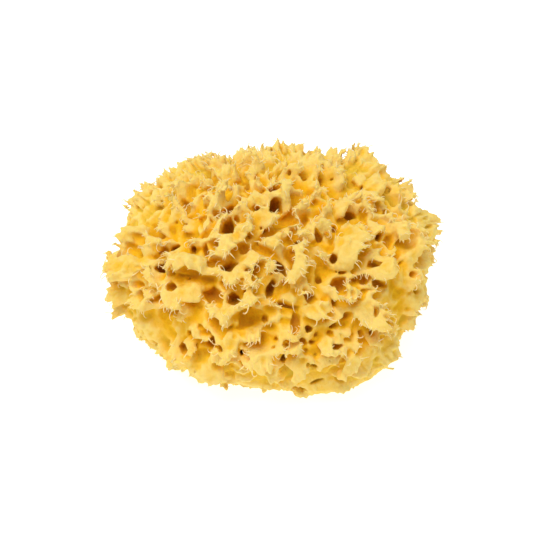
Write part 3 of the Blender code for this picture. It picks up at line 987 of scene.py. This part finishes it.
def read_points(data, name):
    values = np.empty(len(data.vertices) * 3, np.float32)
    data.vertices.foreach_get(name, values)
    return values.reshape(-1, 3)


def rest_on_base(data):
    """Lifts the few points that thinning left below the cut base onto it, and returns all points."""
    points = read_points(data, "co")
    points[:, 2] = np.maximum(points[:, 2], 0)
    data.vertices.foreach_set("co", points.ravel())
    data.update()
    return points


def painted_hollow_shade(points, near, far, sunk):
    """Painted shade: how hollow points are, from 0 on a free crest to 1 deep in a hole, less at the margin,
    which stays paler.
    """
    hollow = NEAR_WEIGHT * smooth_step(*NEAR_CROWD, near) + FAR_WEIGHT * smooth_step(*FAR_CROWD, far)
    hollow += SUNK_WEIGHT * smooth_step(*SUNK, sunk)
    return hollow * (1 - MARGIN_SHADE_LOSS * margin_share(points))


def margin_share(points):
    outward = unit((points - BODY_CENTRE) / BODY_RADII**2)
    return smooth_step(*MARGIN, outward @ OUT_FACE)


def olive_share(points, hollow):
    """How olive points are: in patches at the foot of the face, and in the hollows of the margin."""
    foot = smooth_step(*OLIVE_FOOT, (points - FACE_MIDDLE) @ UP_FACE)
    foot = foot * smooth_step(*OLIVE_FRONT, points[:, 1])
    patches = smooth_step(-0.3, 0.3, noise_at(*points.T, OLIVE_PATCH, SEED + 73))
    open_share, hollow_share = OLIVE_FOOT_SHARES
    low = foot * (open_share + hollow_share * smooth_step(*OLIVE_FOOT_HOLLOW, hollow)) * patches
    edge = OLIVE_MARGIN_SHARE * margin_share(points) * smooth_step(*OLIVE_MARGIN_HOLLOW, hollow)
    return np.maximum(low, edge)


def flesh(material):
    """The sponge's flesh, with how hollow each point is, which sets its painted shade, and how olive it is.

    It is returned with its points, their normals, the share of flesh near them and the way to the open."""
    lattice = Lattice(FIELD_LOW, FIELD_HIGH, STEP)
    field, depth = sponge_field(lattice)
    points, quads = largest_shell(*surface_net(field, lattice))
    obj = mesh_object("sponge_flesh", points, quads)
    obj.data.shade_smooth()
    sunk = read_field(depth, lattice, points)
    thin_out(obj, np.maximum(smooth_step(*HIDDEN_DEPTHS, sunk), smooth_step(*HIDDEN_HEIGHTS, points[:, 2])))
    obj.data.materials.append(material)
    points = rest_on_base(obj.data)
    solid = (field > 0).astype(np.float32)
    near = read_field(box_mean(solid, round(NEAR_REACH / STEP)), lattice, points)
    far = read_field(box_mean(solid, round(FAR_REACH / STEP)), lattice, points)
    hollow = painted_hollow_shade(points, near, far, read_field(depth, lattice, points))
    # The hollow attribute carries the painted shade: it moves the flesh colour toward amber in the hollows
    set_attribute(obj.data, "hollow", np.clip(hollow, 0, 1))
    set_attribute(obj.data, "olive", olive_share(points, hollow))
    crowd = box_mean(solid, round(OPEN_REACH / STEP))
    slope = [read_field(part, lattice, points) for part in np.gradient(crowd)]
    return obj, points, read_points(obj.data, "normal"), near, unit(-np.stack(slope, axis=1))


def strands(name, roots, ways, sides_way, lengths, radii, curls, flatness, rings):
    """Tapered tubes in one mesh, each closed at both ends.

    At a share s of its length a strand's way is cos(a) way + sin(a) side, with a = curl s^1.5, and its
    middle line is the running sum of those ways. Its radius is r (1 - s)^0.6, pressed flat along the
    side."""
    count = len(roots)
    share = np.linspace(0, 1, rings + 1)
    angle = curls[:, None] * share[None, :] ** 1.5
    way = np.cos(angle)[..., None] * ways[:, None] + np.sin(angle)[..., None] * sides_way[:, None]
    step = lengths[:, None, None] / rings
    middle = roots[:, None] + np.concatenate([np.zeros((count, 1, 3)), np.cumsum(way[:, :-1] * step, 1)], 1)
    side = np.cos(angle)[..., None] * sides_way[:, None] - np.sin(angle)[..., None] * ways[:, None]
    cross = np.cross(ways, sides_way)
    turn = np.arange(STRAND_SIDES) * math.tau / STRAND_SIDES
    radius = radii[:, None] * (1 - share[None, :-1]) ** 0.6
    ring = middle[:, :-1, None] + radius[..., None, None] * (
        np.cos(turn)[None, None, :, None] * side[:, :-1, None] * flatness
        + np.sin(turn)[None, None, :, None] * cross[:, None, None]
    )
    points = np.concatenate([ring.reshape(count, -1, 3), middle[:, :1], middle[:, -1:]], 1).reshape(-1, 3)
    around = np.arange(STRAND_SIDES)
    after = (around + 1) % STRAND_SIDES
    faces = []
    for r in range(rings - 1):
        low, high = r * STRAND_SIDES, (r + 1) * STRAND_SIDES
        faces.append(np.stack((low + around, low + after, high + after), 1))
        faces.append(np.stack((low + around, high + after, high + around), 1))
    last = (rings - 1) * STRAND_SIDES
    base = rings * STRAND_SIDES
    tip = base + 1
    faces.append(np.stack((after, around, np.full(STRAND_SIDES, base)), 1))
    faces.append(np.stack((last + around, last + after, np.full(STRAND_SIDES, tip)), 1))
    one = np.concatenate(faces)
    every = (one[None] + np.arange(count)[:, None, None] * (tip + 1)).reshape(-1, 3)
    obj = mesh_object(name, points, every)
    obj.data.shade_smooth()
    return obj


def one_per_cell(points, wanted, cell, chance):
    """Indices of wanted points, at most one in each cube of a size, picked at random."""
    order = chance.permutation(np.nonzero(wanted)[0])
    cells = np.floor(points[order] / cell).astype(np.int64)
    _, first = np.unique(cells, axis=0, return_index=True)
    return order[np.sort(first)]


def frayed_edges(material, co, normals, crowd, open_way):
    """Torn teeth along the hems of the lobes, and longer hooked fibres in the middle of the face.

    They root where little flesh is near, and grow toward the open side: down the slope of the crowd."""
    chance = np.random.default_rng(SEED + 70)
    outward = unit((co - BODY_CENTRE) / BODY_RADII**2)
    off = (co - FACE_MIDDLE) @ np.array((ACROSS, UP_FACE)).T / MIDDLE_REACH
    middle = np.exp(-(off**2).sum(axis=1)) * (outward @ OUT_FACE > 0)
    place = co - FACE_MIDDLE
    up = place @ UP_FACE
    bare = 1 - 0.5 * smooth_step(*BARE_BELOW, up) - 0.5 * foot_share(place @ ACROSS, up)
    bare *= 0.55 + 0.45 * smooth_step(-0.2, 0.4, noise_at(*co.T, BARE_PATCH, SEED + 72))
    down = -OUT_FACE - DOWNWARD * UP_FACE
    droop = unit(down - outward * (outward @ down)[:, None])
    pieces = []
    everywhere, more = FIBRE_SHARES
    for name, kind, share in (
        ("sponge_teeth", TEETH, TOOTH_SHARE),
        ("sponge_fibres", FIBRES, everywhere + more * middle),
    ):
        most, cell, lengths, widths, curls, flat, rings, tint = kind
        wanted = (co[:, 2] > LOWEST_ROOT) & (crowd < most) & (chance.random(len(co)) < share * bare)
        picked = one_per_cell(co, wanted, cell, chance)
        count = len(picked)
        loose = chance.normal(0, 1, (count, 3))
        along, drooping, stray = GROWTH
        ways = open_way[picked] + along * normals[picked] + drooping * droop[picked] + stray * loose
        ways = unit(ways)
        curl_across, curl_in, curl_down = HOOK
        swirl = noise_at(*co[picked].T, SWIRL_PATCH, SEED + 71)[:, None] * curl_across
        side = np.cross(ways, outward[picked]) * swirl
        side = side - outward[picked] * curl_in + droop[picked] * curl_down
        side = unit(side - ways * (side * ways).sum(axis=1, keepdims=True))
        long = lengths[0] + (lengths[1] - lengths[0]) * chance.random(count) ** 2
        radii = chance.uniform(*widths, count)
        roots = co[picked] - ways * ROOT_DEPTH
        obj = strands(name, roots, ways, side, long, radii, chance.uniform(*curls, count), flat, rings)
        obj.data.materials.append(material)
        set_attribute(obj.data, "hollow", np.full(len(obj.data.vertices), tint))
        set_attribute(obj.data, "olive", np.zeros(len(obj.data.vertices)))
        pieces.append(obj)
    return pieces


def white_floor():
    """A broad card, matt and lit a little from itself, so that it reads as plain white."""
    corners = np.array([(-1.0, -1.0, 0.0), (1.0, -1.0, 0.0), (1.0, 1.0, 0.0), (-1.0, 1.0, 0.0)])
    floor = mesh_object("floor", corners * FLOOR_REACH, np.array([(0, 1, 2, 3)]))
    material = bpy.data.materials.new("white_card")
    material.use_nodes = True
    card = material.node_tree.nodes["Principled BSDF"]
    card.inputs["Base Color"].default_value = (CARD_WHITE, CARD_WHITE, CARD_WHITE, 1)
    card.inputs["Emission Color"].default_value = (1, 1, 1, 1)
    card.inputs["Emission Strength"].default_value = CARD_GLOW
    floor.data.materials.append(material)


def soft_light():
    """Even light from the whole sky, and one broad soft sun from above and a little to the left."""
    world = bpy.data.worlds.new("studio")
    world.use_nodes = True
    background = world.node_tree.nodes["Background"]
    background.inputs["Color"].default_value = (1, 1, 1, 1)
    background.inputs["Strength"].default_value = SKY_LIGHT
    bpy.context.scene.world = world
    sun = bpy.data.lights.new("broad_sun", "SUN")
    sun.energy = SUN_LIGHT
    sun.angle = SUN_BREADTH
    placed("broad_sun", sun, (0, 0, 0), SUN_WAY)


def camera():
    """The photograph's camera: a long lens at the viewer's eye, looking straight at the face."""
    lens = bpy.data.cameras.new("camera")
    lens.lens = LENS
    lens.sensor_width = SENSOR
    bpy.context.scene.camera = placed("camera", lens, EYE, -OUT_FACE)


def placed(name, data, place, way):
    """A light or camera at a place, looking along a way with +Z up."""
    obj = bpy.data.objects.new(name, data)
    obj.location = Vector(place)
    obj.rotation_mode = "QUATERNION"
    obj.rotation_quaternion = Vector(way).to_track_quat("-Z", "Y")
    bpy.context.scene.collection.objects.link(obj)
    return obj


white_floor()
soft_light()
camera()
bpy.context.scene.view_settings.view_transform = "Standard"
# The flesh material paints shade into its colour by the hollow attribute
sponge, *skin = flesh(spongin("bleached_spongin", FLESH_AND_SHADE_STOPS, 0.6, 0.0))
# The frayed spongin glows a little: painted light for light that passes through thin fibres
pieces = [sponge, *frayed_edges(spongin("frayed_spongin_with_painted_glow", FRAY_STOPS, 0.0, 0.05), *skin)]
for piece in pieces:
    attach(piece, "root")
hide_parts("sponge")
